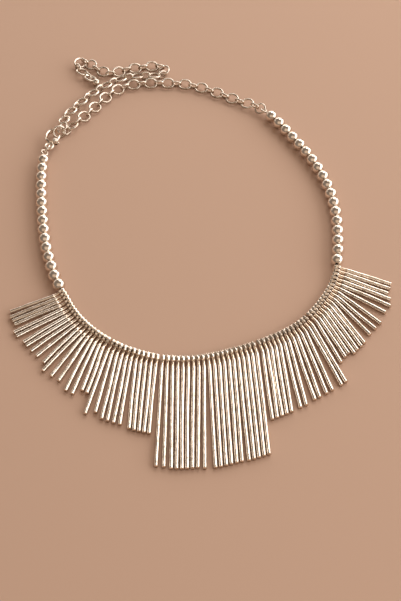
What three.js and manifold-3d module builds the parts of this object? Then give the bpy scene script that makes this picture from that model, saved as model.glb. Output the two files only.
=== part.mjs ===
// A bib necklace of silver-tone metal, lying on a flat surface.
// A fringe of hammered rods hangs from a row of round heads, with a string of plain round beads on each side.
// One cable chain runs round the back to a lobster clasp and goes on as a free tail that ends in a small ball.
// All lengths are in millimetres and +Z is up. The loop is seen from above with the fringe towards -Y.

import * as THREE from 'three';
import { mergeVertices } from 'three/addons/utils/BufferGeometryUtils.js';
import Module from 'manifold-3d';

const wasm = await Module();
wasm.setup();

// Fit and fineness
const GAP = 0.32;              // between two pieces that are not soldered
const BITE = 0.14;             // how deep two links of one chain press into each other
const ROUND_SIDES = 10;        // round a bead, a head or a link
const WIRE_SIDES = 5;          // round a wire or a rod

// Beads and the wire that they are strung on
const BEAD_DIAMETER = 4.9;
const BEAD_BORE = 1.5;
const LEFT_BEAD_GAP = 0.32;    // between the flat ends of two beads
const RIGHT_BEAD_GAP = 0.53;   // on the slacker right string
const LEFT_BEADS = 15;
const RIGHT_BEADS = 18;
const STRING_WIRE = 0.8;

// Fringe: a head, its neck and its rod
const HEAD_DIAMETER = 2.9;
const HEAD_PITCH = 1.73;
const GROOVE_DIAMETER = 2.0;   // of the row between two heads
const ENTRY_HEADS = 5;         // heads over which the row comes down from the beads
const NECK_WIDTH = 0.9;
const NECK_REACH = 3.6;        // from the middle of a head to where its rod has its full width
const ROD_WIDTH = 1.64;
const SHORT_REACH = 23.5;      // from the middle of a head to the tip of its rod
const MEDIUM_REACH = 34;
const LONG_REACH = 48.3;

// Chain: big and small oval links in turn, each rolled about the chain's line by some degrees
const BIG_LINK = { length: 5.9, width: 5.3, wire: 0.9, roll: -18 };
const SMALL_LINK = { length: 4.6, width: 3.45, wire: 0.8, roll: 70, segments: 8 };
const CAUGHT_LINK = { ...BIG_LINK, roll: 60 };
const TAIL_LINK = { ...SMALL_LINK, roll: -16 };
const CAUGHT_TWIST = 80;       // more roll of the links next to the caught one
const TWIST_LINKS = 2;         // links over which the twist fades
const CHAIN_HEIGHT = 1.7;      // of the middle of the chain above the surface
const TAIL_DIAMETER = 3.1;     // of the bar that the tail's links fill
const TAIL_STEP = 3.4;
const END_BALL = 3.2;
const BALL_EYE = { length: 3, width: 3, wire: 0.7, roll: 20 };

// Rings and the lobster clasp, which lies on its side with the mouth to its right
const CLASP_RING = { length: 5, width: 5, wire: 0.8, roll: -60 };
const CHAIN_RING = { length: 5, width: 5, wire: 0.8, roll: -32 };
const WIRE_EYE = { length: 3.4, width: 3.4, wire: 0.8, roll: 30 };
const CLASP_HEIGHT = 2.45;
const CLASP_EYE = { length: 4.2, width: 4.2, wire: 1, thickness: 1.3, roll: 0 };
const CLAW = { length: 9, width: 6.4, wire: 1.15, thickness: 2.4, roll: 0, sides: 6, segments: 16 };
const CLAW_REACH = 5.9;        // from the middle of the eye to the middle of the claw
const PIVOT_AT = -46;          // degrees round the claw from its right side
const LEVER_TIP_AT = 22;
const LEVER = { width: 0.9, thickness: 0.8, boss: 1, tab: 1.9 };
const PIN_DIAMETER = 0.72;
const CAUGHT_AT = 80;          // degrees round the claw where the caught link sits
const CAUGHT_DEPTH = 2.05;     // of its wire inside the middle of the claw's bar
const HOOK_AT = 25;            // degrees up and down the caught link's far end where the two strands hang

// Where everything lies, as chosen points. The loop goes from the left beads along the fringe and the right
// beads to the caught link; the tail goes on from there. A third number is a lift off the surface.
const ROUTES = {
  loop: [
    [-63.4, 76.6], [-63.5, 65], [-62.5, 52], [-60.9, 38.5], [-58.9, 26], [-56.4, 16.3], [-53.4, 7],
    [-49.6, 0.3], [-45.9, -6.4], [-42, -11.8], [-36.9, -17], [-31.2, -21.3], [-25.1, -24.6], [-17.1, -27.4],
    [-8.5, -28.7], [0.9, -28], [11.3, -25], [22.1, -20.6], [32, -15], [38.7, -8.9], [44.4, -0.9], [48.9, 8],
    [51.6, 17.5], [52.5, 27], [52.9, 42], [50.9, 57.6], [45.8, 73], [38.8, 86.4], [30.4, 100.2, 0.9],
    [23.2, 107.6, 0.9], [16.7, 111.4], [9.6, 115.7], [2.6, 119.5], [-4.4, 122.3], [-11.3, 123.5], [-18.4, 123.6],
    [-24.8, 123.4], [-31.4, 121.8], [-36.4, 118.5], [-41.1, 112.9], [-46, 105.2], [-50.9, 98.9],
  ],
  tail: [
    [-57, 98.6, 1.2], [-55.2, 103.4, 0.3], [-51.2, 110], [-45.8, 117], [-40, 122.6], [-34.6, 126.4],
    [-29, 128.2], [-23, 128.8], [-18.2, 128.4], [-14.9, 130.6], [-15.6, 134.4], [-19.6, 135.3], [-24.8, 134.4],
    [-29.6, 133.4], [-33.6, 132.2], [-37.6, 130.1], [-41, 130.2], [-44.2, 132.8], [-47.4, 135.6], [-50, 138.9],
    [-53, 139.7], [-54.2, 137.2], [-52.8, 133.5], [-50.4, 130.2], [-47.6, 127.3],
  ],
};
const CLASP_RING_LEAN = 23;    // degrees from straight up, + to the right
const CLASP_LEAN = 10;
const CAUGHT_LEAN = 62;

// One row for each clump of rods that lie side by side, from left to right.
// lean is the clump's direction in degrees from straight down, + to the right; fan is how far it spreads;
// share is the length of its rods, of the tier's reach.
const FRINGE = [
  { name: 'fringe_left_short', reach: SHORT_REACH, clumps: [
    { rods: 1, lean: -64.7, fan: 0, share: 0.89 },
    { rods: 3, lean: -61.7, fan: 1.2, share: 0.94 },
    { rods: 2, lean: -56.9, fan: 1, share: 1.01 },
    { rods: 2, lean: -50.7, fan: 0.6, share: 0.98 },
    { rods: 2, lean: -45.2, fan: 3.8, share: 0.98 },
    { rods: 1, lean: -37.6, fan: 0, share: 0.99 },
    { rods: 1, lean: -36.2, fan: 0, share: 1.1 },
    { rods: 2, lean: -29.2, fan: 4, share: 1.1 },
    { rods: 2, lean: -20.4, fan: 2.4, share: 1.2 },
    { rods: 2, lean: -16.4, fan: 0.8, share: 1.07 },
  ] },
  { name: 'fringe_left_medium', reach: MEDIUM_REACH, clumps: [
    { rods: 1, lean: -15.3, fan: 0, share: 0.975 },
    { rods: 1, lean: -12.4, fan: 0, share: 0.92 },
    { rods: 4, lean: -9, fan: 2.9, share: 0.97 },
    { rods: 5, lean: -4.4, fan: 0.4, share: 1 },
  ] },
  { name: 'fringe_centre_long', reach: LONG_REACH, clumps: [
    { rods: 1, lean: -2.2, fan: 0, share: 0.975 },
    { rods: 1, lean: -1.1, fan: 0, share: 0.975 },
    { rods: 6, lean: 0, fan: 0.3, share: 0.985 },
    { rods: 1, lean: 0.9, fan: 0, share: 0.995 },
    { rods: 6, lean: 3.5, fan: 0.7, share: 1 },
    { rods: 5, lean: 4.9, fan: 0.4, share: 1.005 },
  ] },
  { name: 'fringe_right_medium', reach: MEDIUM_REACH, clumps: [
    { rods: 5, lean: 7.2, fan: 1, share: 1.025 },
    { rods: 2, lean: 11.1, fan: 1, share: 1 },
    { rods: 2, lean: 15.2, fan: 0.6, share: 0.97 },
    { rods: 2, lean: 18.4, fan: 1.4, share: 0.965 },
    { rods: 2, lean: 23.8, fan: 0.8, share: 0.955 },
  ] },
  { name: 'fringe_right_short', reach: SHORT_REACH, clumps: [
    { rods: 1, lean: 25.8, fan: 0, share: 1.06 },
    { rods: 2, lean: 28.6, fan: 0.7, share: 1.03 },
    { rods: 2, lean: 30.1, fan: 0.6, share: 1.1 },
    { rods: 2, lean: 32.2, fan: 0.8, share: 1.11 },
    { rods: 1, lean: 38.6, fan: 0, share: 1.06 },
    { rods: 1, lean: 43, fan: 0, share: 1.055 },
    { rods: 1, lean: 47, fan: 0, share: 1.06 },
    { rods: 1, lean: 56, fan: 0, share: 1.005 },
    { rods: 1, lean: 61, fan: 0, share: 1.02 },
    { rods: 1, lean: 64.2, fan: 0, share: 0.98 },
    { rods: 1, lean: 65.8, fan: 0, share: 0.91 },
    { rods: 2, lean: 69, fan: 1.8, share: 0.915 },
  ] },
];

const silver = new THREE.MeshStandardMaterial({ color: 0xc9bfb2, roughness: 0.28, metalness: 1 });
const agedSilver = new THREE.MeshStandardMaterial({ color: 0xb3a492, roughness: 0.36, metalness: 1 });
const UP = new THREE.Vector3(0, 0, 1);

/** Makes a closed geometry into a solid that can be joined and cut. */
function solid(geometry) {
  const bare = geometry.clone();
  bare.deleteAttribute('normal');
  bare.deleteAttribute('uv');
  const merged = mergeVertices(bare, 1e-5);
  return new wasm.Manifold(new wasm.Mesh({
    numProp: 3,
    vertProperties: new Float32Array(merged.attributes.position.array),
    triVerts: new Uint32Array(merged.index.array),
  }));
}

/** Makes a solid back into a geometry. */
function geometryOf(manifold) {
  const mesh = manifold.getMesh();
  const geometry = new THREE.BufferGeometry();
  geometry.setAttribute('position', new THREE.BufferAttribute(new Float32Array(mesh.vertProperties), 3));
  geometry.setIndex(new THREE.BufferAttribute(new Uint32Array(mesh.triVerts), 1));
  geometry.computeVertexNormals();
  return geometry;
}

/** Joins closed geometries into one. */
function fuse(geometries) {
  return geometryOf(geometries.map(solid).reduce((whole, piece) => whole.add(piece)));
}

/** Lays a bar through rings; each ring has a centre, a direction to face, a radius and, if oval, a rise. */
function sweep(rings, sides) {
  const geometry = new THREE.CylinderGeometry(1, 1, 1, sides, rings.length - 1);
  const position = geometry.attributes.position;
  const point = new THREE.Vector3();
  for (let i = 0; i < position.count; i++) {
    const ring = rings[Math.round((0.5 + position.getY(i)) * (rings.length - 1))];
    const side = new THREE.Vector3().crossVectors(ring.facing, UP).normalize();
    const top = new THREE.Vector3().crossVectors(side, ring.facing).normalize();
    point.copy(ring.centre);
    point.addScaledVector(side, position.getX(i) * ring.radius);
    point.addScaledVector(top, position.getZ(i) * (ring.rise ?? ring.radius));
    position.setXYZ(i, point.x, point.y, point.z);
  }
  return geometry;
}

/**
 * An oval ring of wire, lying in the XY plane with its length along X. An edge of its wire faces inwards,
 * and each end is a short straight across the length.
 */
function ovalRing({ length, width, wire, thickness = wire, sides = WIRE_SIDES, segments = ROUND_SIDES }) {
  const geometry = new THREE.TorusGeometry(1, wire / 2, sides, segments);
  const position = geometry.attributes.position;
  const half = Math.PI / segments;
  const a = (length - wire) / 2 / Math.cos(half);
  const b = (width - wire) / 2;
  for (let i = 0; i < position.count; i++) {
    const angle = Math.atan2(position.getY(i), position.getX(i)) + half;
    const out = new THREE.Vector2(Math.cos(angle) / a, Math.sin(angle) / b).normalize();
    const inwards = Math.hypot(position.getX(i), position.getY(i)) - 1;
    const x = a * Math.cos(angle) - out.x * inwards;
    const y = b * Math.sin(angle) - out.y * inwards;
    position.setXYZ(i, x, y, -position.getZ(i) * thickness / wire);
  }
  return geometry;
}

/** The frame of a ring between two places of its wire, rolled about the line from one to the other. */
function hangingFrame(kind, from, to) {
  const along = new THREE.Vector3().subVectors(to, from).normalize();
  const side = new THREE.Vector3().crossVectors(UP, along).normalize();
  const basis = new THREE.Matrix4().makeBasis(along, side, new THREE.Vector3().crossVectors(along, side));
  basis.multiply(new THREE.Matrix4().makeRotationX(THREE.MathUtils.degToRad(kind.roll)));
  return basis.setPosition(new THREE.Vector3().addVectors(from, to).multiplyScalar(0.5));
}

/** Hangs a ring between two places of its wire. */
function hangRing(kind, from, to) {
  return ovalRing(kind).applyMatrix4(hangingFrame(kind, from, to));
}

/** A smooth curve through a route's points, at the height of the chain. */
function curveThrough(points) {
  const places = points.map(([x, y, lift = 0]) => new THREE.Vector3(x, y, CHAIN_HEIGHT + lift));
  const curve = new THREE.CatmullRomCurve3(places, false, 'catmullrom');
  curve.arcLengthDivisions = 3000;
  return curve;
}

/** The point at a distance along a curve. */
function pointAt(curve, distance) {
  return curve.getPointAt(THREE.MathUtils.clamp(distance / curve.getLength(), 0, 1));
}

/** How far along a curve the next point lies that is a straight chord away. */
function stepAlong(curve, from, chord) {
  const start = pointAt(curve, from);
  let distance = from + chord;
  for (let i = 0; i < 30; i++) {
    distance += chord - pointAt(curve, distance).distanceTo(start);
  }
  return distance;
}

/** The direction in the XY plane that leans by some degrees from straight down. */
function leaning(degrees) {
  const angle = THREE.MathUtils.degToRad(degrees);
  return new THREE.Vector3(Math.sin(angle), -Math.cos(angle), 0);
}

/** A drilled round bead, with its bore along Y. */
function beadShape() {
  const radius = BEAD_DIAMETER / 2;
  const bore = BEAD_BORE / 2;
  const profile = [new THREE.Vector2(bore, -Math.sqrt(radius ** 2 - bore ** 2))];
  for (const latitude of [-38, 0, 38]) {
    const angle = THREE.MathUtils.degToRad(latitude);
    profile.push(new THREE.Vector2(radius * Math.cos(angle), radius * Math.sin(angle)));
  }
  profile.push(new THREE.Vector2(bore, Math.sqrt(radius ** 2 - bore ** 2)), profile[0].clone());
  return new THREE.LatheGeometry(profile, ROUND_SIDES);
}

/** The wire through a string of beads, with an eye soldered to its outer end. */
function beadWire(stops, eyeCentre) {
  const radius = STRING_WIRE / 2;
  const outward = new THREE.Vector3().subVectors(eyeCentre, stops[0]).normalize();
  const reach = (WIRE_EYE.length - WIRE_EYE.wire) / 2;
  const start = eyeCentre.clone().addScaledVector(outward, -reach);
  const rings = [{ centre: start, facing: outward.clone().negate(), radius }];
  stops.slice(1).forEach((stop, i) => {
    const after = stops[Math.min(i + 2, stops.length - 1)];
    rings.push({ centre: stop, facing: new THREE.Vector3().subVectors(after, stops[i]).normalize(), radius });
  });
  const span = outward.clone().multiplyScalar(reach);
  const eye = hangRing(WIRE_EYE, eyeCentre.clone().sub(span), eyeCentre.clone().add(span));
  return fuse([eye, sweep(rings, WIRE_SIDES)]);
}

/** The heads of the whole fringe: where each sits, how it leans and what rod it carries. */
function layOutHeads(curve, start) {
  const rods = FRINGE.flatMap(({ name, reach, clumps }) => clumps.flatMap(({ rods: count, lean, fan, share }) =>
    Array.from({ length: count }, (_, i) => ({
      name, reach: reach * share, lean: lean + (count > 1 ? fan * (i / (count - 1) - 0.5) : 0),
    }))));
  const rowAngle = (distance) => {
    const tangent = curve.getTangentAt(distance / curve.getLength());
    return THREE.MathUtils.radToDeg(Math.atan2(tangent.y, tangent.x));
  };
  let distance = start;
  return rods.map((rod, i) => {
    if (i > 0 && rod.name !== rods[i - 1].name) {
      const slant = THREE.MathUtils.degToRad(rowAngle(distance) - rod.lean);
      distance += Math.max(0, (ROD_WIDTH + GAP) / Math.cos(slant) - HEAD_PITCH);
    }
    const across = rowAngle(distance);
    const fromEnd = Math.min(i, rods.length - 1 - i) / ENTRY_HEADS;
    const drop = THREE.MathUtils.smoothstep(fromEnd, 0, 1);
    const lift = (1 - drop) * (BEAD_DIAMETER - HEAD_DIAMETER) / 2;
    const centre = pointAt(curve, distance).setZ(HEAD_DIAMETER / 2 + lift);
    distance += HEAD_PITCH;
    return { ...rod, centre, lift, down: leaning(across), axis: leaning(across + 90), end: distance };
  });
}

/** The coil of heads of one tier: a bar that swells at each head and narrows between two. */
function headRow(heads) {
  const rings = [];
  const groove = GROOVE_DIAMETER / 2;
  heads.forEach((head, i) => {
    const before = heads[i - 1];
    if (before) {
      const centre = new THREE.Vector3().addVectors(before.centre, head.centre).multiplyScalar(0.5);
      rings.push({ centre, facing: new THREE.Vector3().addVectors(before.axis, head.axis).normalize(), radius: groove });
    } else {
      const centre = head.centre.clone().addScaledVector(head.axis, (GAP - HEAD_PITCH) / 2);
      rings.push({ centre, facing: head.axis, radius: groove });
    }
    rings.push({ centre: head.centre, facing: head.axis, radius: HEAD_DIAMETER / 2 });
  });
  const last = heads[heads.length - 1];
  const centre = last.centre.clone().addScaledVector(last.axis, (HEAD_PITCH - GAP) / 2);
  rings.push({ centre, facing: last.axis, radius: groove });
  return sweep(rings, ROUND_SIDES);
}

/** One rod with its tapered neck, from inside its head to its tip. It lies flat on the surface. */
function rodOf(head) {
  const radius = ROD_WIDTH / 2;
  const level = radius * Math.cos(Math.PI / WIRE_SIDES);
  const shoulder = head.centre.clone().addScaledVector(head.down, NECK_REACH).setZ(level + head.lift);
  const tip = head.centre.clone().addScaledVector(leaning(head.lean), head.reach).setZ(level);
  const facing = new THREE.Vector3().subVectors(tip, shoulder).normalize();
  const root = head.centre.clone().addScaledVector(head.down, HEAD_DIAMETER / 5);
  return sweep([
    { centre: root, facing: head.down, radius: NECK_WIDTH / 2 },
    { centre: shoulder, facing, radius },
    { centre: tip, facing, radius },
  ], WIRE_SIDES);
}

/** How far the wires of two rings that hang in each other lie apart, from middle to middle. */
function hangDistance(one, other, gap) {
  return (one.wire + other.wire) / 2 + gap;
}

/** Fills a way with small and big links in turn, small ones first and last, each a hair longer or shorter. */
function linksAlong(curve, start, end) {
  const soldered = hangDistance(SMALL_LINK, BIG_LINK, -BITE);
  const small = SMALL_LINK.length - SMALL_LINK.wire;
  const pair = small + BIG_LINK.length - BIG_LINK.wire - 2 * soldered;
  const pairs = Math.max(1, Math.round((end - start - small) / pair));
  const count = 2 * pairs + 1;
  const stretch = (end - start - small - pairs * pair) / count;
  const links = [];
  let from = start;
  for (let i = 0; i < count; i++) {
    const kind = i % 2 ? BIG_LINK : SMALL_LINK;
    const twist = Math.max(0, 1 - (count - 1 - i) / TWIST_LINKS) * CAUGHT_TWIST;
    const link = { ...kind, length: kind.length + stretch, roll: kind.roll + twist };
    const to = stepAlong(curve, from, link.length - link.wire);
    links.push(hangRing(link, pointAt(curve, from), pointAt(curve, to)));
    from = to - soldered;
  }
  return links;
}

/** A round bar along a curve, drawn at even steps. */
function barAlong(curve, diameter, step) {
  const section = new THREE.Shape().absarc(0, 0, diameter / 2, 0, 2 * Math.PI);
  const steps = Math.ceil(curve.getLength() / step);
  return new THREE.ExtrudeGeometry(section, { steps, curveSegments: 4, extrudePath: curve, bevelEnabled: false });
}

/** A flat shape made into a plate with its middle at z = 0. */
function plate(shape, thickness) {
  const geometry = new THREE.ExtrudeGeometry(shape, { depth: thickness, bevelEnabled: false, curveSegments: 8 });
  return geometry.translate(0, 0, -thickness / 2);
}

/** A round pillar along Z at a point of the XY plane. */
function pillar(x, y, radius, height) {
  return new THREE.CylinderGeometry(radius, radius, height, ROUND_SIDES).rotateX(Math.PI / 2).translate(x, y, 0);
}

/** The place round the claw's bar at an angle, with its outward direction. The clasp's eye is at the origin. */
function placeOnClaw(degrees, inside = 0) {
  const angle = THREE.MathUtils.degToRad(degrees);
  const a = (CLAW.width - CLAW.wire) / 2;
  const b = (CLAW.length - CLAW.wire) / 2;
  const outward = new THREE.Vector3(Math.cos(angle) / a, Math.sin(angle) / b, 0).normalize();
  const centre = new THREE.Vector3(a * Math.cos(angle), CLAW_REACH + b * Math.sin(angle), 0);
  return { centre: centre.addScaledVector(outward, -inside), outward };
}

/** The clasp's body and lever in their own frame: the eye at the origin and the nose towards +Y. */
function makeClasp() {
  const pivot = placeOnClaw(PIVOT_AT).centre;
  const tip = placeOnClaw(LEVER_TIP_AT);
  const boss = LEVER.boss;
  const sweepRadius = tip.centre.clone().addScaledVector(tip.outward, LEVER.width / 2).distanceTo(pivot) + GAP;
  const mouth = new THREE.Shape();
  const mouthLeft = CLAW.width / 8;
  const mouthBottom = pivot.y + CLAW.wire / 2;
  const low = Math.asin((mouthBottom - pivot.y) / sweepRadius);
  mouth.moveTo(mouthLeft, mouthBottom);
  mouth.lineTo(pivot.x + sweepRadius * Math.cos(low), mouthBottom);
  mouth.absarc(pivot.x, pivot.y, sweepRadius, low, Math.acos((mouthLeft - pivot.x) / sweepRadius), false);
  mouth.closePath();

  const slot = LEVER.thickness + 2 * GAP;
  const claw = solid(ovalRing(CLAW).rotateZ(Math.PI / 2).translate(0, CLAW_REACH, 0));
  const body = claw.add(solid(ovalRing(CLASP_EYE)))
    .subtract(solid(plate(mouth, 2 * CLAW.thickness)))
    .subtract(solid(pillar(pivot.x, pivot.y, boss + GAP, slot)))
    .add(solid(pillar(pivot.x, pivot.y, PIN_DIAMETER / 2, slot + 0.2)));

  const radius = LEVER.width / 2;
  const steps = 4;
  const rings = Array.from({ length: steps + 1 }, (_, i) => {
    const place = placeOnClaw(PIVOT_AT + (LEVER_TIP_AT - PIVOT_AT) * (i / steps));
    const facing = place.outward.clone().applyAxisAngle(UP, Math.PI / 2);
    return { centre: place.centre, facing, radius, rise: LEVER.thickness / 2 };
  });
  const tabDirection = placeOnClaw(PIVOT_AT + 20).outward;
  const tab = [0.3, LEVER.tab].map((reach) => ({
    centre: pivot.clone().addScaledVector(tabDirection, reach), facing: tabDirection, radius, rise: LEVER.thickness / 2,
  }));
  const lever = solid(sweep(rings, 6))
    .add(solid(pillar(pivot.x, pivot.y, boss, LEVER.thickness * 0.9)))
    .add(solid(sweep(tab, 6)))
    .subtract(solid(pillar(pivot.x, pivot.y, PIN_DIAMETER / 2 + 1.1 * GAP, 2 * LEVER.thickness)));
  return { body: geometryOf(body), lever: geometryOf(lever), pivot };
}

const necklace = new THREE.Group();

/** Adds one named piece to a group. */
function addPiece(name, geometry, material = silver, group = necklace) {
  const mesh = new THREE.Mesh(geometry, material);
  mesh.name = name;
  group.add(mesh);
  return mesh;
}

/** Adds a ring that hangs between two places of its wire. */
function addRing(name, kind, from, to) {
  addPiece(name, ovalRing(kind), agedSilver).applyMatrix4(hangingFrame(kind, from, to));
}

// The left end: the wire's eye, the clasp's ring, the clasp and the link that it holds.
const wireEyeReach = WIRE_EYE.length / 2 + GAP;
const [firstX, firstY] = ROUTES.loop[0];
const [secondX, secondY] = ROUTES.loop[1];
const leftEnd = new THREE.Vector3(firstX, firstY, BEAD_DIAMETER / 2);
const leftOutward = new THREE.Vector3(firstX - secondX, firstY - secondY, 0).normalize();
const leftEye = leftEnd.clone().addScaledVector(leftOutward, wireEyeReach);
const claspEye = leftEye.clone().addScaledVector(leaning(180 - CLASP_RING_LEAN), CLASP_RING.length - CLASP_RING.wire);
claspEye.setZ(CLASP_HEIGHT);
addRing('clasp_ring', CLASP_RING, leftEye, claspEye);

const claspShapes = makeClasp();
const clasp = new THREE.Group();
clasp.position.copy(claspEye);
clasp.rotation.z = THREE.MathUtils.degToRad(-CLASP_LEAN);
clasp.updateMatrix();
addPiece('clasp_body', claspShapes.body, agedSilver, clasp);
addPiece('clasp_lever', claspShapes.lever, agedSilver, clasp);
necklace.add(clasp);
const caughtFrom = placeOnClaw(CAUGHT_AT, CAUGHT_DEPTH).centre.applyMatrix4(clasp.matrix);
const caughtTo = caughtFrom.clone().addScaledVector(leaning(180 - CAUGHT_LEAN), BIG_LINK.length - BIG_LINK.wire);

/** Where the wire of a link that comes from a point lies, when it hangs in the caught link's far end. */
function hookIn(degrees, [x, y]) {
  const angle = THREE.MathUtils.degToRad(degrees);
  const a = (CAUGHT_LINK.length - CAUGHT_LINK.wire) / 2;
  const b = (CAUGHT_LINK.width - CAUGHT_LINK.wire) / 2;
  const hook = new THREE.Vector3(a * Math.cos(angle), b * Math.sin(angle), 0);
  hook.applyMatrix4(hangingFrame(CAUGHT_LINK, caughtFrom, caughtTo));
  const inwards = new THREE.Vector3(hook.x - x, hook.y - y, 0);
  return hook.add(inwards.setLength(hangDistance(CAUGHT_LINK, SMALL_LINK, -BITE)));
}

/** A place as a route's point, with its lift. */
function asRoutePoint(place) {
  return [place.x, place.y, place.z - CHAIN_HEIGHT];
}

// The left beads, the fringe and the right beads follow one another along the loop.
const loopEnd = hookIn(-HOOK_AT, ROUTES.loop[ROUTES.loop.length - 1]);
const loop = curveThrough([...ROUTES.loop, asRoutePoint(loopEnd)]);
const bead = beadShape();

/** Adds one string of beads along the loop and gives the middles of the gaps between them. */
function addBeads(side, count, gap, start) {
  const beadPitch = Math.sqrt(BEAD_DIAMETER ** 2 - BEAD_BORE ** 2) + gap;
  const stops = [pointAt(loop, start).setZ(BEAD_DIAMETER / 2)];
  let distance = start;
  for (let i = 0; i < count; i++) {
    distance = stepAlong(loop, distance, beadPitch);
    stops.push(pointAt(loop, distance).setZ(BEAD_DIAMETER / 2));
    const mesh = addPiece(`${side}_bead_${String(i + 1).padStart(2, '0')}`, bead);
    mesh.position.addVectors(stops[i], stops[i + 1]).multiplyScalar(0.5);
    mesh.rotation.z = Math.atan2(stops[i + 1].y - stops[i].y, stops[i + 1].x - stops[i].x) - Math.PI / 2;
  }
  return { stops, end: distance };
}

const leftBeads = addBeads('left', LEFT_BEADS, LEFT_BEAD_GAP, 0);
addPiece('left_bead_wire', beadWire(leftBeads.stops, leftEye), agedSilver);
const heads = layOutHeads(loop, leftBeads.end + GAP + HEAD_PITCH / 2);
for (const { name } of FRINGE) {
  const own = heads.filter((head) => head.name === name);
  addPiece(name, fuse([headRow(own), ...own.map(rodOf)]));
}
const rightStart = heads[heads.length - 1].end - HEAD_PITCH / 2 + GAP;
const rightBeads = addBeads('right', RIGHT_BEADS, RIGHT_BEAD_GAP, rightStart);
const rightStops = rightBeads.stops.reverse();
const rightOutward = new THREE.Vector3().subVectors(rightStops[0], rightStops[1]).normalize();
const rightEye = rightStops[0].clone().addScaledVector(rightOutward, wireEyeReach);
addPiece('right_bead_wire', beadWire(rightStops, rightEye), agedSilver);

// The chain ring hangs in the right wire's eye, and the chain runs from it to the caught link and on.
const ringEnd = stepAlong(loop, rightBeads.end + wireEyeReach, CHAIN_RING.length - CHAIN_RING.wire);
addRing('chain_ring', CHAIN_RING, rightEye, pointAt(loop, ringEnd).setZ(rightEye.z));
const chainStart = ringEnd - hangDistance(CHAIN_RING, SMALL_LINK, 1.5 * GAP);
const [tailX, tailY] = ROUTES.tail[0];
const tailHook = hookIn(HOOK_AT, ROUTES.tail[0]);
const tailOutward = new THREE.Vector3(tailX - tailHook.x, tailY - tailHook.y, 0).normalize();
const tailLinkEnd = tailHook.clone().addScaledVector(tailOutward, TAIL_LINK.length - TAIL_LINK.wire);
addPiece('side_chain', fuse([
  ...linksAlong(loop, chainStart, loop.getLength()),
  hangRing(CAUGHT_LINK, caughtFrom, caughtTo),
  hangRing(TAIL_LINK, tailHook, tailLinkEnd),
]), agedSilver);

// The tail goes on from its first link, and the ball hangs on its end.
const tailStart = tailLinkEnd.clone().addScaledVector(tailOutward, TAIL_LINK.wire / 2 + GAP);
const tail = curveThrough([asRoutePoint(tailStart), ...ROUTES.tail]);
addPiece('tail_chain', barAlong(tail, TAIL_DIAMETER, TAIL_STEP), agedSilver);
const tailDirection = tail.getTangentAt(1);
const eyeFrom = tail.getPointAt(1).addScaledVector(tailDirection, BALL_EYE.wire / 2 + GAP);
const eyeTo = eyeFrom.clone().addScaledVector(tailDirection, BALL_EYE.length - BALL_EYE.wire);
const ballCentre = eyeTo.clone().addScaledVector(tailDirection, (END_BALL - BALL_EYE.wire) / 2);
const ball = new THREE.SphereGeometry(END_BALL / 2, ROUND_SIDES, 6).translate(...ballCentre);
addPiece('end_ball', fuse([hangRing(BALL_EYE, eyeFrom, eyeTo), ball]), agedSilver);

// The origin is under the middle of the whole, on the surface.
const box = new THREE.Box3().setFromObject(necklace);
necklace.position.set(-(box.min.x + box.max.x) / 2, -(box.min.y + box.max.y) / 2, -box.min.z);

export default necklace;
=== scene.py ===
# A bib necklace of silver-tone metal, lying on a pale surface. The pieces come nearly in the order in which
# they are strung: the left beads, the fringe, the right beads, the chain round the back, its tail with the
# end ball, and last the clasp.

import math
import random
from bisect import bisect_right

import bpy
from mathutils import Matrix, Vector


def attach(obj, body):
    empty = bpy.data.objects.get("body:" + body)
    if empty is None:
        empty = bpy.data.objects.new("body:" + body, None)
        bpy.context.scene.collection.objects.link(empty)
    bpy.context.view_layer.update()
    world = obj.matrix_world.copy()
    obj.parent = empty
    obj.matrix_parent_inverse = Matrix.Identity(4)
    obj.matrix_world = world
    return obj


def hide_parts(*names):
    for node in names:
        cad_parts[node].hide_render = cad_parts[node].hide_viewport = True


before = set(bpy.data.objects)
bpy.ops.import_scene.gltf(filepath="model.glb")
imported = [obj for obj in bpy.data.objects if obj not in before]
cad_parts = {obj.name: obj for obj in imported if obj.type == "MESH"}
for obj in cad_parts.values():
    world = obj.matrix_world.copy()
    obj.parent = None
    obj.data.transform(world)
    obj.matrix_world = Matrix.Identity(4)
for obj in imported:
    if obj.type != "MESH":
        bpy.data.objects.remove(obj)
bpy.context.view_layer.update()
bpy.ops.object.select_all(action="DESELECT")


# The surface, the light and the camera. The surface is one plain pale sheet. A broad light stands low on
# the right, as at a window. Weaker ones stand behind the necklace, on its left and in front of it, and the
# room itself is dim. Places and sizes of lights are in metres, powers in watts.
MM = 0.001
MIDDLE = Vector((-0.6842, -32.3622, 0)) * MM      # where the camera looks
CAMERA_DISTANCE = 518 * MM
CAMERA_ELEVATION = 48                             # degrees above the surface
SENSOR_HEIGHT = 36
CAMERA_LENS = 83.86                               # for that sensor
FLOOR_WIDTH = 6

bpy.ops.mesh.primitive_plane_add(size=FLOOR_WIDTH)
floor = bpy.context.object
floor.name = "floor"
floor_paint = bpy.data.materials.new("pale_surface")
floor_paint.use_nodes = True
floor_shader = floor_paint.node_tree.nodes["Principled BSDF"]
floor_shader.inputs["Base Color"].default_value = (0.65, 0.45, 0.345, 1)
floor_shader.inputs["Roughness"].default_value = 0.9
floor_shader.inputs["Specular IOR Level"].default_value = 0.15
floor.data.materials.append(floor_paint)

world = bpy.data.worlds.new("studio")
world.use_nodes = True
world.node_tree.nodes["Background"].inputs["Color"].default_value = (1.0, 0.80, 0.64, 1)
world.node_tree.nodes["Background"].inputs["Strength"].default_value = 0.21
bpy.context.scene.world = world


def soft_light(name, place, width, height, power, colour):
    """A soft light that faces the necklace."""
    bpy.ops.object.light_add(type="AREA", location=place)
    light = bpy.context.object
    light.name = name
    light.data.shape = "RECTANGLE"
    light.data.size = width
    light.data.size_y = height
    light.data.energy = power
    light.data.color = colour
    light.rotation_euler = (MIDDLE - Vector(place)).to_track_quat("-Z", "Y").to_euler()


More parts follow.
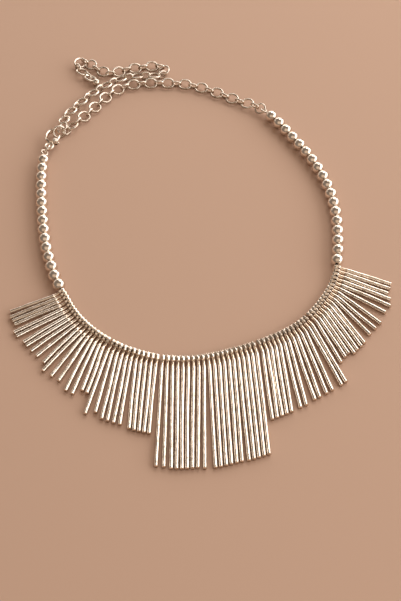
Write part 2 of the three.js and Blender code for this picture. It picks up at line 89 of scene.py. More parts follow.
soft_light("window", (1.05, 0.05, 0.5), 2.5, 0.8, 14.5, (1.0, 0.95, 0.9))
soft_light("back_wall", (0, 1.2, 0.38), 1.1, 0.4, 3.6, (1.0, 0.93, 0.85))
soft_light("back_ceiling", (0.45, 0.95, 1.0), 1.3, 0.8, 3.7, (1.0, 0.92, 0.85))
soft_light("back_right", (0.24, 0.75, 0.85), 0.34, 0.5, 1.6, (1.0, 0.94, 0.88))
soft_light("left_wall", (-0.85, 0.8, 0.28), 0.9, 0.4, 0.7, (1.0, 0.88, 0.77))
soft_light("front_wall", (0, -0.9, 1.0), 1.6, 1.2, 3.2, (1.0, 0.76, 0.56))

elevation = math.radians(CAMERA_ELEVATION)
ahead = Vector((0, math.cos(elevation), -math.sin(elevation)))
bpy.ops.object.camera_add(location=MIDDLE - ahead * CAMERA_DISTANCE)
camera = bpy.context.object
camera.rotation_euler = (math.pi / 2 - elevation, 0, 0)
camera.data.sensor_fit = "VERTICAL"
camera.data.sensor_height = SENSOR_HEIGHT
camera.data.lens = CAMERA_LENS
camera.data.clip_start = 0.01
bpy.context.scene.camera = camera
bpy.context.scene.view_settings.view_transform = "Standard"


# The left string: a wire with an eye soldered to its outer end, and plain round beads of satin metal,
# drilled and strung side by side. The whole necklace follows one line, drawn here from this string's first
# bead round to the link that the clasp holds.
CHAIN_HEIGHT = 1.7                                # of a line without a lift of its own
LINE_STEPS = 3000
SETTLING_ROUNDS = 30                              # in which a step along a line finds its length
LOOP = [                                          # right, back and lift, from the camera's middle
    (-63.4, 76.6), (-63.5, 65), (-62.5, 52), (-60.9, 38.5), (-58.9, 26), (-56.4, 16.3), (-53.4, 7),
    (-49.6, 0.3), (-45.9, -6.4), (-42, -11.8), (-36.9, -17), (-31.2, -21.3), (-25.1, -24.6), (-17.1, -27.4),
    (-8.5, -28.7), (0.9, -28), (11.3, -25), (22.1, -20.6), (32, -15), (38.7, -8.9), (44.4, -0.9), (48.9, 8),
    (51.6, 17.5), (52.5, 27), (52.9, 42), (50.9, 57.6), (45.8, 73), (38.8, 86.4), (30.4, 100.2, 0.9),
    (23.2, 107.6, 0.9), (16.7, 111.4), (9.6, 115.7), (2.6, 119.5), (-4.4, 122.3), (-11.3, 123.5),
    (-18.4, 123.6), (-24.8, 123.4), (-31.4, 121.8), (-36.4, 118.5), (-41.1, 112.9), (-46, 105.2),
    (-50.9, 98.9), (-56.45, 91.42, -0.06),
]
GAP = 0.32 * MM                                   # between two kinds of pieces on the line
BEAD_DIAMETER = 4.9 * MM
BEAD_BORE = 1.5 * MM
BEAD_LIP = 0.15 * MM                              # the rounding of the bore's rim
LEFT_BEADS = 15
LEFT_BEAD_GAP = 0.32 * MM
STRING_WIRE = 0.8 * MM
WIRE_EYE = {"length": 3.4 * MM, "width": 3.4 * MM, "wire": 0.8 * MM}
WIRE_EYE_ROLL = 30
FINE = 1e-7                                       # below this two points are one
TARNISH_SPREAD = (0.46, 0.86)                     # of a noise, from where a patch dulls to where it is dull


def chosen_place(x, y, height):
    """A chosen place by its distances from the camera's middle and its height above the surface."""
    return MIDDLE + Vector((x, y, height)) * MM


def line_place(x, y, lift=0):
    """A chosen point of a line, at the chain's height with its lift."""
    return chosen_place(x, y, CHAIN_HEIGHT + lift)


def line_through(chosen):
    """A smooth line through chosen places: close places along it, and the length up to each."""
    ends = [2 * chosen[0] - chosen[1], *chosen, 2 * chosen[-1] - chosen[-2]]
    places = []
    for step in range(LINE_STEPS + 1):
        share = step / LINE_STEPS * (len(chosen) - 1)
        k = min(int(share), len(chosen) - 2)
        a, b, c, d = ends[k:k + 4]
        u = share - k
        bend = (2 * a - 5 * b + 4 * c - d) * u ** 2 + (3 * b - a - 3 * c + d) * u ** 3
        places.append((2 * b + (c - a) * u + bend) / 2)
    lengths = [0]
    for before, after in zip(places, places[1:]):
        lengths.append(lengths[-1] + (after - before).length)
    return places, lengths


def place_on(line, distance):
    """The place at a distance along a line."""
    places, lengths = line
    distance = min(max(distance, 0), lengths[-1])
    i = min(max(bisect_right(lengths, distance), 1), len(lengths) - 1)
    return places[i - 1].lerp(places[i], (distance - lengths[i - 1]) / (lengths[i] - lengths[i - 1]))


def step_along(line, start, chord):
    """How far along a line the next place lies that is a straight chord away."""
    distance = start + chord
    for _ in range(SETTLING_ROUNDS):
        distance += chord - (place_on(line, distance) - place_on(line, start)).length
    return distance


def at_height(place, height):
    """A place moved to a height above the surface."""
    return Vector((place.x, place.y, height))


def take(*pieces):
    """Selects these pieces alone, the first one active."""
    bpy.ops.object.select_all(action="DESELECT")
    for piece in pieces:
        piece.select_set(True)
    bpy.context.view_layer.objects.active = pieces[0]


def pick(piece, kind, test):
    """Opens a piece in edit mode with some corners, edges or faces selected.

    They are those whose middle and direction pass a test.
    """
    take(piece)
    bpy.ops.object.mode_set(mode="EDIT")
    bpy.ops.mesh.select_mode(type=kind)
    bpy.ops.mesh.select_all(action="DESELECT")
    bpy.ops.object.mode_set(mode="OBJECT")
    corners = piece.data.vertices
    if kind == "VERT":
        for corner in corners:
            corner.select = test(corner.co, corner.normal)
    elif kind == "EDGE":
        for edge in piece.data.edges:
            start, end = (corners[i].co for i in edge.vertices)
            edge.select = test((start + end) / 2, end - start)
    else:
        for face in piece.data.polygons:
            face.select = test(face.center, face.normal)
    bpy.ops.object.mode_set(mode="EDIT")


def close_up(piece, angle=40):
    """Merges what lies on one spot, turns the skin outwards and smooths edges below an angle in degrees."""
    take(piece)
    bpy.ops.object.mode_set(mode="EDIT")
    bpy.ops.mesh.select_all(action="SELECT")
    bpy.ops.mesh.remove_doubles(threshold=FINE)
    bpy.ops.mesh.normals_make_consistent(inside=False)
    bpy.ops.object.mode_set(mode="OBJECT")
    bpy.ops.object.shade_smooth_by_angle(angle=math.radians(angle))


def copy_at(master, name, place):
    """A copy of a modelled piece with its own mesh, laid where a matrix says."""
    piece = master.copy()
    piece.data = master.data.copy()
    piece.name = name
    bpy.context.collection.objects.link(piece)
    piece.data.transform(place)
    return piece


def joined(pieces, name):
    """Several pieces made one."""
    take(*pieces)
    bpy.ops.object.join()
    pieces[0].name = name
    return pieces[0]


def wire_through(name, places, thickness, swells=None):
    """A round wire through some places, closed at both ends.

    swells are the shares of its thickness that it has at each place.
    """
    path = bpy.data.curves.new(name, "CURVE")
    path.dimensions = "3D"
    path.bevel_depth = thickness / 2
    path.bevel_resolution = 2
    path.use_fill_caps = True
    spline = path.splines.new("POLY")
    spline.points.add(len(places) - 1)
    for point, place, swell in zip(spline.points, places, swells or [1] * len(places)):
        point.co = (*place, 1)
        point.radius = swell
    piece = bpy.data.objects.new(name, path)
    bpy.context.collection.objects.link(piece)
    take(piece)
    bpy.ops.object.convert(target="MESH")
    piece = bpy.context.object
    close_up(piece)
    return piece


def wire_ring(length, width, wire, round_steps=36, wire_steps=12):
    """A ring of round wire, lying flat with its length along X. A long ring has two straight sides."""
    bpy.ops.mesh.primitive_torus_add(
        major_radius=(width - wire) / 2, minor_radius=wire / 2,
        major_segments=round_steps, minor_segments=wire_steps)
    ring = bpy.context.object
    for side in (1, -1):
        pick(ring, "VERT", lambda co, normal: co.x * side > FINE)
        bpy.ops.transform.translate(value=(side * (length - width) / 2, 0, 0))
        bpy.ops.object.mode_set(mode="OBJECT")
    close_up(ring, 60)
    return ring


def hanging_frame(start, end, roll):
    """The frame of a ring between two places of its wire, rolled by some degrees about its length."""
    along = (end - start).normalized()
    side = Vector((0, 0, 1)).cross(along).normalized()
    frame_axes = Matrix((along, side, along.cross(side))).transposed().to_4x4()
    return Matrix.Translation((start + end) / 2) @ frame_axes @ Matrix.Rotation(math.radians(roll), 4, "X")


def silver(name, bright, tarnish_and_shade_colour, shade_below, patch, roughness, marks, grain, neck_reflection=None):
    """A silver-tone metal, solid through and a little tarnished.

    bright and tarnish_and_shade_colour are the colours of its rubbed and its tarnished patches. patch is how
    wide those are. shade_below is the height up to which its underside turns to the second colour, painted
    shade under and between the pieces. roughness is that of the rubbed patches, then of the tarnished and
    shaded ones.
    marks and grain give the width and the depth of its tool marks and of its fine surface. neck_reflection
    is a
    painted reflection: the colour that a piece has where its own "neck_reflection" says so.
    """
    material = bpy.data.materials.new(name)
    material.use_nodes = True
    nodes = material.node_tree.nodes
    links = material.node_tree.links
    shader = nodes["Principled BSDF"]
    shader.inputs["Metallic"].default_value = 1
    place = nodes.new("ShaderNodeTexCoord").outputs["Object"]

    patches = nodes.new("ShaderNodeTexNoise")
    patches.inputs["Scale"].default_value = 1 / patch
    patches.inputs["Detail"].default_value = 4
    links.new(place, patches.inputs["Vector"])
    # Painted shade: below a set height the underside darkens towards the second colour and turns rougher,
    # standing in for the shade under and between the pieces. The noise patches above are real tarnish.
    height = nodes.new("ShaderNodeSeparateXYZ")
    links.new(place, height.inputs["Vector"])
    painted_underside_shade = nodes.new("ShaderNodeMapRange")
    painted_underside_shade.inputs["From Min"].default_value = shade_below / 2
    painted_underside_shade.inputs["From Max"].default_value = shade_below
    painted_underside_shade.inputs["To Min"].default_value = 1
    painted_underside_shade.inputs["To Max"].default_value = 0
    links.new(height.outputs["Z"], painted_underside_shade.inputs["Value"])
    tarnish_and_shade = nodes.new("ShaderNodeMath")
    tarnish_and_shade.operation = "ADD"
    tarnish_and_shade.use_clamp = True
    spread = nodes.new("ShaderNodeMapRange")
    spread.inputs["From Min"].default_value = TARNISH_SPREAD[0]
    spread.inputs["From Max"].default_value = TARNISH_SPREAD[1]
    links.new(patches.outputs["Fac"], spread.inputs["Value"])
    links.new(spread.outputs["Result"], tarnish_and_shade.inputs[0])
    links.new(painted_underside_shade.outputs["Result"], tarnish_and_shade.inputs[1])

    colour = nodes.new("ShaderNodeMix")
    colour.data_type = "RGBA"
    colour.inputs["A"].default_value = (*bright, 1)
    colour.inputs["B"].default_value = (*tarnish_and_shade_colour, 1)
    links.new(tarnish_and_shade.outputs["Value"], colour.inputs["Factor"])
    # Painted reflection: the necks take a light tan colour, standing in for the warm surface reflected in
    # them.
    if neck_reflection:
        with_neck_reflection = nodes.new("ShaderNodeMix")
        with_neck_reflection.data_type = "RGBA"
        with_neck_reflection.inputs["B"].default_value = (*neck_reflection, 1)
        neck_reflection_share = nodes.new("ShaderNodeAttribute")
        neck_reflection_share.attribute_name = "neck_reflection"
        links.new(neck_reflection_share.outputs["Fac"], with_neck_reflection.inputs["Factor"])
        links.new(colour.outputs["Result"], with_neck_reflection.inputs["A"])
        colour = with_neck_reflection
    links.new(colour.outputs["Result"], shader.inputs["Base Color"])
    sheen = nodes.new("ShaderNodeMapRange")
    sheen.inputs["To Min"].default_value = roughness[0]
    sheen.inputs["To Max"].default_value = roughness[1]
    links.new(tarnish_and_shade.outputs["Value"], sheen.inputs["Value"])
    links.new(sheen.outputs["Result"], shader.inputs["Roughness"])

    tool = nodes.new("ShaderNodeTexNoise")
    tool.inputs["Scale"].default_value = 1 / marks[0]
    tool.inputs["Detail"].default_value = 1
    links.new(place, tool.inputs["Vector"])
    fine = nodes.new("ShaderNodeTexNoise")
    fine.inputs["Scale"].default_value = 1 / grain[0]
    fine.inputs["Detail"].default_value = 3
    links.new(place, fine.inputs["Vector"])
    dents = nodes.new("ShaderNodeBump")
    dents.inputs["Strength"].default_value = 1
    dents.inputs["Distance"].default_value = marks[1]
    links.new(tool.outputs["Fac"], dents.inputs["Height"])
    surface = nodes.new("ShaderNodeBump")
    surface.inputs["Strength"].default_value = 1
    surface.inputs["Distance"].default_value = grain[1]
    links.new(fine.outputs["Fac"], surface.inputs["Height"])
    links.new(dents.outputs["Normal"], surface.inputs["Normal"])
    links.new(surface.outputs["Normal"], shader.inputs["Normal"])
    return material


def dress(piece, material, body="necklace"):
    """Gives a piece its one material and the body that it moves with."""
    piece.data.materials.clear()
    piece.data.materials.append(material)
    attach(piece, body)


loop = line_through([line_place(*point) for point in LOOP])
# Each metal's second colour serves both for its tarnished patches and for the painted shade on its
# underside, up to the height given after it.
satin = silver("satin_bead_metal", bright=(0.90, 0.82, 0.74), tarnish_and_shade_colour=(0.70, 0.58, 0.47), shade_below=1.6 * MM,
               patch=2.5 * MM, roughness=(0.22, 0.28), marks=(1.2 * MM, 0.010 * MM),
               grain=(0.12 * MM, 0.002 * MM))
aged = silver("aged_link_metal", bright=(0.90, 0.82, 0.73), tarnish_and_shade_colour=(0.40, 0.30, 0.22), shade_below=1.9 * MM,
              patch=1.6 * MM, roughness=(0.18, 0.30), marks=(0.6 * MM, 0.010 * MM),
              grain=(0.15 * MM, 0.004 * MM))

bpy.ops.mesh.primitive_uv_sphere_add(segments=32, ring_count=20, radius=BEAD_DIAMETER / 2)
bead = bpy.context.object
lip = math.sqrt(BEAD_DIAMETER ** 2 - BEAD_BORE ** 2) / 2
for side in (1, -1):
    pick(bead, "VERT", lambda co, normal: True)
    cut = (0, 0, side * lip)
    bpy.ops.mesh.bisect(plane_co=cut, plane_no=(0, 0, side), clear_outer=True, threshold=FINE)
    bpy.ops.object.mode_set(mode="OBJECT")
pick(bead, "EDGE", lambda middle, along: abs(middle.z) > lip - FINE)
bpy.ops.mesh.bridge_edge_loops()
bpy.ops.object.mode_set(mode="OBJECT")
pick(bead, "EDGE", lambda middle, along: abs(middle.z) > lip - FINE)
bpy.ops.mesh.bevel(offset=BEAD_LIP, segments=3, affect="EDGES")
bpy.ops.object.mode_set(mode="OBJECT")
close_up(bead, 60)


def string_beads(side, count, gap, start):
    """Lays one string of beads along the loop. Gives the middles of the gaps beside them, and its end."""
    stops = [at_height(place_on(loop, start), BEAD_DIAMETER / 2)]
    distance = start
    for number in range(1, count + 1):
        distance = step_along(loop, distance, 2 * lip + gap)
        stops.append(at_height(place_on(loop, distance), BEAD_DIAMETER / 2))
        along = stops[-1] - stops[-2]
        turn = along.to_track_quat("Z", "Y").to_matrix().to_4x4()
        place = Matrix.Translation((stops[-1] + stops[-2]) / 2) @ turn
        piece = copy_at(bead, f"satin_bead_{side}_{number:02d}", place)
        dress(piece, satin)
        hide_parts(f"{side}_bead_{number:02d}")
    return stops, distance


def string_wire(side, stops):
    """Lays the wire of a string, with its eye beyond the first stop, and gives the eye's middle."""
    outward = (stops[0] - stops[1]).normalized()
    eye_middle = stops[0] + outward * (WIRE_EYE["length"] / 2 + GAP)
    reach = outward * (WIRE_EYE["length"] - WIRE_EYE["wire"]) / 2
    wire = wire_through(f"string_wire_{side}", [eye_middle - reach, *stops[1:]], STRING_WIRE)
    eye = wire_ring(**WIRE_EYE)
    eye.data.transform(hanging_frame(eye_middle - reach, eye_middle + reach, WIRE_EYE_ROLL))
    piece = joined([wire, eye], f"string_wire_{side}")
    dress(piece, aged)
    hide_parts(f"{side}_bead_wire")
    return eye_middle


left_stops, left_end = string_beads("left", LEFT_BEADS, LEFT_BEAD_GAP, 0)
left_eye = string_wire("left", left_stops)


# The fringe: 78 hammered rods in five tiers. Each rod is a wire that was hammered to a bar with soft edges,
# cut off flat at its tip, drawn thin at its neck and curled into a round head. The heads sit side by side on
# the stringing wire. Rods that hang together in a clump share a row of the table: how many, the direction
# that they lean in degrees from straight down, how far they fan out, and their share of the tier's length.
HEAD_DIAMETER = 2.9 * MM
HEAD_PITCH = 1.73 * MM
HEAD_WIRE = 1.4 * MM                              # that a head is curled from
HEAD_WIDTH_SHARE = 0.92                           # of a head along the row, against its round wire's
HEAD_SLANT = 12                                   # degrees that a head's turn leans, as in a coil
HEAD_SOFTNESS = 0.12 * MM                         # of its wire's ridges
GROOVE_DIAMETER = 1.5 * MM                        # between two heads
THREAD_END = 0.5 * MM                             # of the wire in it, beyond a tier's outer heads
ENTRY_HEADS = 5                                   # heads over which the row comes down from the beads
TIER_STEP_WIDTH = 1.64 * MM                       # of a rod, where one tier steps on to the next
NEARBY = 0.1 * MM                                 # to each side, for the row's direction at a place
HEAD_LENGTH = 3.4 * MM                            # along the rod
HEAD_FORWARD = 0.5 * MM                           # from the stringing wire to a head's middle
NECK_START = 1.6 * MM                             # from the stringing wire
SHOULDER = 4.1 * MM
NECK = [                                          # steps up from the shoulder, and the width's share there
    (0.12 * MM, 0.97), (0.18 * MM, 0.91), (0.25 * MM, 0.85), (0.35 * MM, 0.81), (0.8 * MM, 0.8),
    (0.8 * MM, 0.8),
]
NECK_FADE = 0.5 * MM                              # over which the painted reflection on the neck fades out
ROD_RADIUS = 0.94 * MM
ROD_SLIMNESS = 0.87                               # of its width, against its height
ROD_SOFTNESS = 0.3 * MM                           # of its long edges
ROD_LIFT = 0.05 * MM                              # clear of the surface, before it is hammered
ROD_LEVEL = ROD_RADIUS * math.cos(math.pi / 6) + ROD_LIFT
RING_STEP = 0.55 * MM                             # between two rings of points along a rod
TIP_INSET = 0.2 * MM
TIP_RISE = 0.1 * MM
ROOT_DROP = 0.25 * MM                             # of a rod's root below its head's middle
BEND_AT = 0.9 * SHOULDER                          # where a rod turns from its head's direction to its own
SETTLED_AFTER = 2.6 * MM                          # from there on it lies straight
SWAY = 0.2 * MM                                   # of a rod's middle to one side
BLOW_WIDTH = 1.5 * MM
BLOW_DEPTH = 0.1 * MM
SHORT_REACH = 23.5 * MM
MEDIUM_REACH = 34 * MM
LONG_REACH = 48.3 * MM
FRINGE = {
    "left_short": (SHORT_REACH, [
        (1, -64.7, 0, 0.89), (3, -61.7, 1.2, 0.94), (2, -56.9, 1, 1.01), (2, -50.7, 0.6, 0.98),
        (2, -45.2, 3.8, 0.98), (1, -37.6, 0, 0.99), (1, -36.2, 0, 1.1), (2, -29.2, 4, 1.1),
        (2, -20.4, 2.4, 1.2), (2, -16.4, 0.8, 1.07),
    ]),
    "left_medium": (MEDIUM_REACH, [
        (1, -15.3, 0, 0.975), (1, -12.4, 0, 0.92), (4, -9, 2.9, 0.97), (5, -4.4, 0.4, 1),
    ]),
    "centre_long": (LONG_REACH, [
        (1, -2.2, 0, 0.975), (1, -1.1, 0, 0.975), (6, 0, 0.3, 0.985), (1, 0.9, 0, 0.995), (6, 3.5, 0.7, 1),
        (5, 4.9, 0.4, 1.005),
    ]),
    "right_medium": (MEDIUM_REACH, [
        (5, 7.2, 1, 1.025), (2, 11.1, 1, 1), (2, 15.2, 0.6, 0.97), (2, 18.4, 1.4, 0.965),
        (2, 23.8, 0.8, 0.955),
    ]),
    "right_short": (SHORT_REACH, [
        (1, 25.8, 0, 1.06), (2, 28.6, 0.7, 1.03), (2, 30.1, 0.6, 1.1), (2, 32.2, 0.8, 1.11),
        (1, 38.6, 0, 1.06), (1, 43, 0, 1.055), (1, 47, 0, 1.06), (1, 56, 0, 1.005), (1, 61, 0, 1.02),
        (1, 64.2, 0, 0.98), (1, 65.8, 0, 0.91), (2, 69, 1.8, 0.915),
    ]),
}


def leaning(degrees):
    """The direction in the plane that leans by some degrees from straight down, + to the right."""
    angle = math.radians(degrees)
    return Vector((math.sin(angle), -math.cos(angle), 0))


def row_angle(distance):
    """The direction of the row of heads in the plane, in degrees from +X."""
    tangent = place_on(loop, distance + NEARBY) - place_on(loop, distance - NEARBY)
    return math.degrees(math.atan2(tangent.y, tangent.x))


def lay_out_heads(start):
    """Where each head sits, how it leans and what rod it carries, and the end of the row."""
    rods = []
    for tier, (reach, clumps) in FRINGE.items():
        for count, lean, fan, share in clumps:
            for i in range(count):
                spread = fan * (i / (count - 1) - 0.5) if count > 1 else 0
                rods.append({"tier": tier, "reach": reach * share, "lean": lean + spread})
    distance = start
    for i, rod in enumerate(rods):
        if i and rod["tier"] != rods[i - 1]["tier"]:
            slant = math.radians(row_angle(distance) - rod["lean"])
            distance += max(0, (TIER_STEP_WIDTH + GAP) / math.cos(slant) - HEAD_PITCH)
        across = row_angle(distance)
        entry = min(min(i, len(rods) - 1 - i) / ENTRY_HEADS, 1)
        rod["lift"] = (1 - entry ** 2 * (3 - 2 * entry)) * (BEAD_DIAMETER - HEAD_DIAMETER) / 2
        rod["centre"] = at_height(place_on(loop, distance), HEAD_DIAMETER / 2 + rod["lift"])
        rod["down"] = leaning(across)
        rod["axis"] = leaning(across + 90)
        distance += HEAD_PITCH
    return rods, distance


def model_rod(reach):
    """A straight rod along X from its root at 0, with its neck. It is bent and hammered later."""
    rod_start = SHOULDER - NECK_START
    length = reach - SHOULDER
    bpy.ops.mesh.primitive_cylinder_add(vertices=6, radius=ROD_RADIUS, depth=length, end_fill_type="NGON")
    rod = bpy.context.object
    flat_down = Matrix.Rotation(math.pi / 2, 4, "Y")
    rod.data.transform(Matrix.Translation((rod_start + length / 2, 0, 0)) @ flat_down)
    pick(rod, "VERT", lambda co, normal: True)
    bpy.ops.transform.resize(value=(1, ROD_SLIMNESS, 1), center_override=(0, 0, 0))
    bpy.ops.object.mode_set(mode="OBJECT")
    pick(rod, "EDGE", lambda middle, along: abs(along.x) > length / 2)
    bpy.ops.mesh.bevel(offset=ROD_SOFTNESS, segments=2, affect="EDGES")
    bpy.ops.object.mode_set(mode="OBJECT")
    pick(rod, "EDGE", lambda middle, along: abs(along.x) > length / 2)
    bpy.ops.mesh.subdivide(number_cuts=round(length / RING_STEP))
    bpy.ops.object.mode_set(mode="OBJECT")
    pick(rod, "FACE", lambda centre, normal: normal.x > 0.9)
    bpy.ops.mesh.inset(thickness=TIP_INSET)
    bpy.ops.transform.translate(value=(TIP_RISE, 0, 0))
    bpy.ops.object.mode_set(mode="OBJECT")
    pick(rod, "FACE", lambda centre, normal: normal.x < -0.9)
    at, width = rod_start, 1
    for step, narrowed in NECK:
        bpy.ops.mesh.extrude_region_move(TRANSFORM_OT_translate={"value": (-step, 0, 0)})
        at -= step
        bpy.ops.transform.resize(value=(1, narrowed / width, narrowed / width), center_override=(at, 0, 0))
        width = narrowed
    bpy.ops.object.mode_set(mode="OBJECT")
    close_up(rod, 50)
    # The neck gets a painted tan reflection, full over the neck and fading out towards the shoulder.
    neck_reflection = rod.data.attributes.new("neck_reflection", "FLOAT", "POINT")
    for corner, value in zip(rod.data.vertices, neck_reflection.data):
        value.value = min(max((rod_start - corner.co.x) / NECK_FADE, 0), 1)
    return rod


def bend_rod(piece, head, sway):
    """Bends a straight rod from its head's direction to its own and lays it down on the surface."""
    root = head["centre"] + head["down"] * NECK_START - Vector((0, 0, ROOT_DROP))
    corner = at_height(head["centre"] + head["down"] * BEND_AT, ROD_LEVEL + head["lift"])
    tip = at_height(head["centre"] + leaning(head["lean"]) * head["reach"], ROD_LEVEL)
    settled = corner + (tip - corner).normalized() * SETTLED_AFTER
    middle = (settled + tip) / 2 + leaning(head["lean"] + 90) * sway
    path = bpy.data.curves.new("bend", "CURVE")
    path.dimensions = "3D"
    path.twist_mode = "Z_UP"
    path.resolution_u = 16
    spline = path.splines.new("BEZIER")
    spline.bezier_points.add(3)
    points = [root, settled, middle, tip]
    for point, place in zip(spline.bezier_points, points):
        point.co = place
        point.handle_left_type = point.handle_right_type = "FREE"
    along = tip - settled
    handles = [
        (root, root.lerp(corner, 2 / 3)), (settled.lerp(corner, 2 / 3), settled + along / 6),
        (middle - along / 6, middle + along / 6), (tip - along / 6, tip),
    ]
    for point, (before, after) in zip(spline.bezier_points, handles):
        point.handle_left, point.handle_right = before, after
    bend = bpy.data.objects.new("bend", path)
    bpy.context.collection.objects.link(bend)
    modifier = piece.modifiers.new("bend", "CURVE")
    modifier.object = bend
    modifier.deform_axis = "POS_X"
    take(piece)
    bpy.ops.object.modifier_apply(modifier="bend")
    bpy.data.objects.remove(bend)


def hammer(piece, width, depth):
    """Beats a piece all over: shallow dents of some width and depth."""
    blows = bpy.data.textures.new("blows", "CLOUDS")
    blows.noise_scale = width
    modifier = piece.modifiers.new("hammer", "DISPLACE")
    modifier.texture = blows
    modifier.texture_coords = "LOCAL"
    modifier.mid_level = 0.5
    modifier.strength = depth
    take(piece)
    bpy.ops.object.modifier_apply(modifier="hammer")


heads, row_end = lay_out_heads(left_end + GAP + HEAD_PITCH / 2)
# The rods' metal also has a painted tan reflection on their necks, its last colour.
hammered = silver("hammered_rod_metal", bright=(0.90, 0.82, 0.73), tarnish_and_shade_colour=(0.50, 0.40, 0.31), shade_below=1.1 * MM,
                  patch=2.2 * MM, roughness=(0.15, 0.28), marks=(0.6 * MM, 0.040 * MM),
                  grain=(0.16 * MM, 0.008 * MM), neck_reflection=(0.92, 0.78, 0.64))
straight_rods = {reach: model_rod(reach) for reach in (SHORT_REACH, MEDIUM_REACH, LONG_REACH)}

curl = wire_ring(HEAD_LENGTH, HEAD_DIAMETER, HEAD_WIRE, round_steps=24, wire_steps=5)
pick(curl, "EDGE", lambda middle, along: abs(middle.z) < FINE and abs(along.z) < FINE)
bpy.ops.mesh.bevel(offset=HEAD_SOFTNESS, segments=2, affect="EDGES")
bpy.ops.object.mode_set(mode="OBJECT")
pick(curl, "VERT", lambda co, normal: True)
bpy.ops.transform.resize(value=(1, 1, HEAD_WIDTH_SHARE), center_override=(0, 0, 0))
bpy.ops.object.mode_set(mode="OBJECT")
close_up(curl, 30)

sways = random.Random(7)
for tier, (tier_reach, clumps) in FRINGE.items():
    own = [head for head in heads if head["tier"] == tier]
    pieces = []
    for head in own:
        rod = copy_at(straight_rods[tier_reach], "rod", Matrix.Identity(4))
        rod_start = SHOULDER - NECK_START
        stretch = (head["reach"] - SHOULDER) / (tier_reach - SHOULDER)
        pick(rod, "VERT", lambda co, normal: co.x > rod_start + FINE)
        bpy.ops.transform.resize(value=(stretch, 1, 1), center_override=(rod_start, 0, 0))
        bpy.ops.object.mode_set(mode="OBJECT")
        bend_rod(rod, head, sways.uniform(-SWAY, SWAY))
        turn = Matrix((head["down"], Vector((0, 0, -1)), head["axis"])).transposed().to_4x4()
        outward = (head["down"] + Vector((0, 0, 1))).normalized()
        coil = Matrix.Rotation(math.radians(HEAD_SLANT), 4, outward)
        middle = Matrix.Translation(head["centre"] + head["down"] * HEAD_FORWARD)
        pieces += [rod, copy_at(curl, "curl", middle @ coil @ turn)]
    thread = [own[0]["centre"] - own[0]["axis"] * THREAD_END, *(head["centre"] for head in own),
              own[-1]["centre"] + own[-1]["axis"] * THREAD_END]
    pieces.append(wire_through("thread", thread, GROOVE_DIAMETER))
    fringe = joined(pieces, f"hammered_{tier}")
    hammer(fringe, BLOW_WIDTH, BLOW_DEPTH)
    dress(fringe, hammered)
    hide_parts(f"fringe_{tier}")
for master in (*straight_rods.values(), curl):
    bpy.data.objects.remove(master)


# The right string: the same beads and wire, three beads longer, with its eye at the chain's end.
RIGHT_BEADS = 18
RIGHT_BEAD_GAP = 0.53 * MM

right_stops, right_end = string_beads("right", RIGHT_BEADS, RIGHT_BEAD_GAP, row_end - HEAD_PITCH / 2 + GAP)
right_stops.reverse()
right_eye = string_wire("right", right_stops)
bpy.data.objects.remove(bead)


# The chain: a jump ring in the right string's eye, then small and big oval links in turn. Each is bent from
# round wire and soldered shut, and is tarnished in patches, with painted shade darkening its underside. The
# clasp holds a big link, from which the tail's first small link goes on.
RING = {"length": 5 * MM, "width": 5 * MM, "wire": 0.8 * MM}
CHAIN_RING_ROLL = -32
BIG_LINK = {"length": 5.9 * MM, "width": 5.3 * MM, "wire": 0.9 * MM}
SMALL_LINK = {"length": 4.6 * MM, "width": 3.45 * MM, "wire": 0.8 * MM}
BIG_ROLL = -18
SMALL_ROLL = 70
TAIL_LINK_ROLL = -16
BITE = 0.14 * MM                                  # how deep two links press into each other
CAUGHT_ROLL = 60
CAUGHT_TWIST = 80                                 # degrees that the last links before the held one turn on
TWIST_LINKS = 2
CAUGHT_ENDS = [(-60.46, 90.16, 2.45), (-56.04, 92.51, 2.45)]
FIRST_TAIL_ENDS = [(-56.4, 92.1, 3.26), (-56.75, 95.89, 3.26)]


def lay_links(name, line, start, end, kinds, twist=0):
    """Fills a line with links of two kinds in turn, the first kind first and last, each stretched to fit."""
    first, second = (kind for kind, _ in kinds)
    shared = (first["wire"] + second["wire"]) / 2 - BITE
    first_span = first["length"] - first["wire"]
    pair = first_span + second["length"] - second["wire"] - 2 * shared
    pairs = round((end - start - first_span) / pair)
    count = 2 * pairs + 1
    stretch = (end - start - first_span - pairs * pair) / count
    masters = [wire_ring(**{**kind, "length": kind["length"] + stretch}) for kind in (first, second)]
    links = []
    for i in range(count):
        kind, roll = kinds[i % 2]
        roll += max(0, 1 - (count - 1 - i) / TWIST_LINKS) * twist
        after = step_along(line, start, kind["length"] + stretch - kind["wire"])
        place = hanging_frame(place_on(line, start), place_on(line, after), roll)
        links.append(copy_at(masters[i % 2], name, place))
        start = after - shared
    for master in masters:
        bpy.data.objects.remove(master)
    return links


ring_end = step_along(loop, right_end + WIRE_EYE["length"] / 2 + GAP, RING["length"] - RING["wire"])
chain_ring = wire_ring(**RING)
ring_far = at_height(place_on(loop, ring_end), right_eye.z)
chain_ring.data.transform(hanging_frame(right_eye, ring_far, CHAIN_RING_ROLL))
chain_ring.name = "jump_ring_right"
dress(chain_ring, aged)
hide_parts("chain_ring")

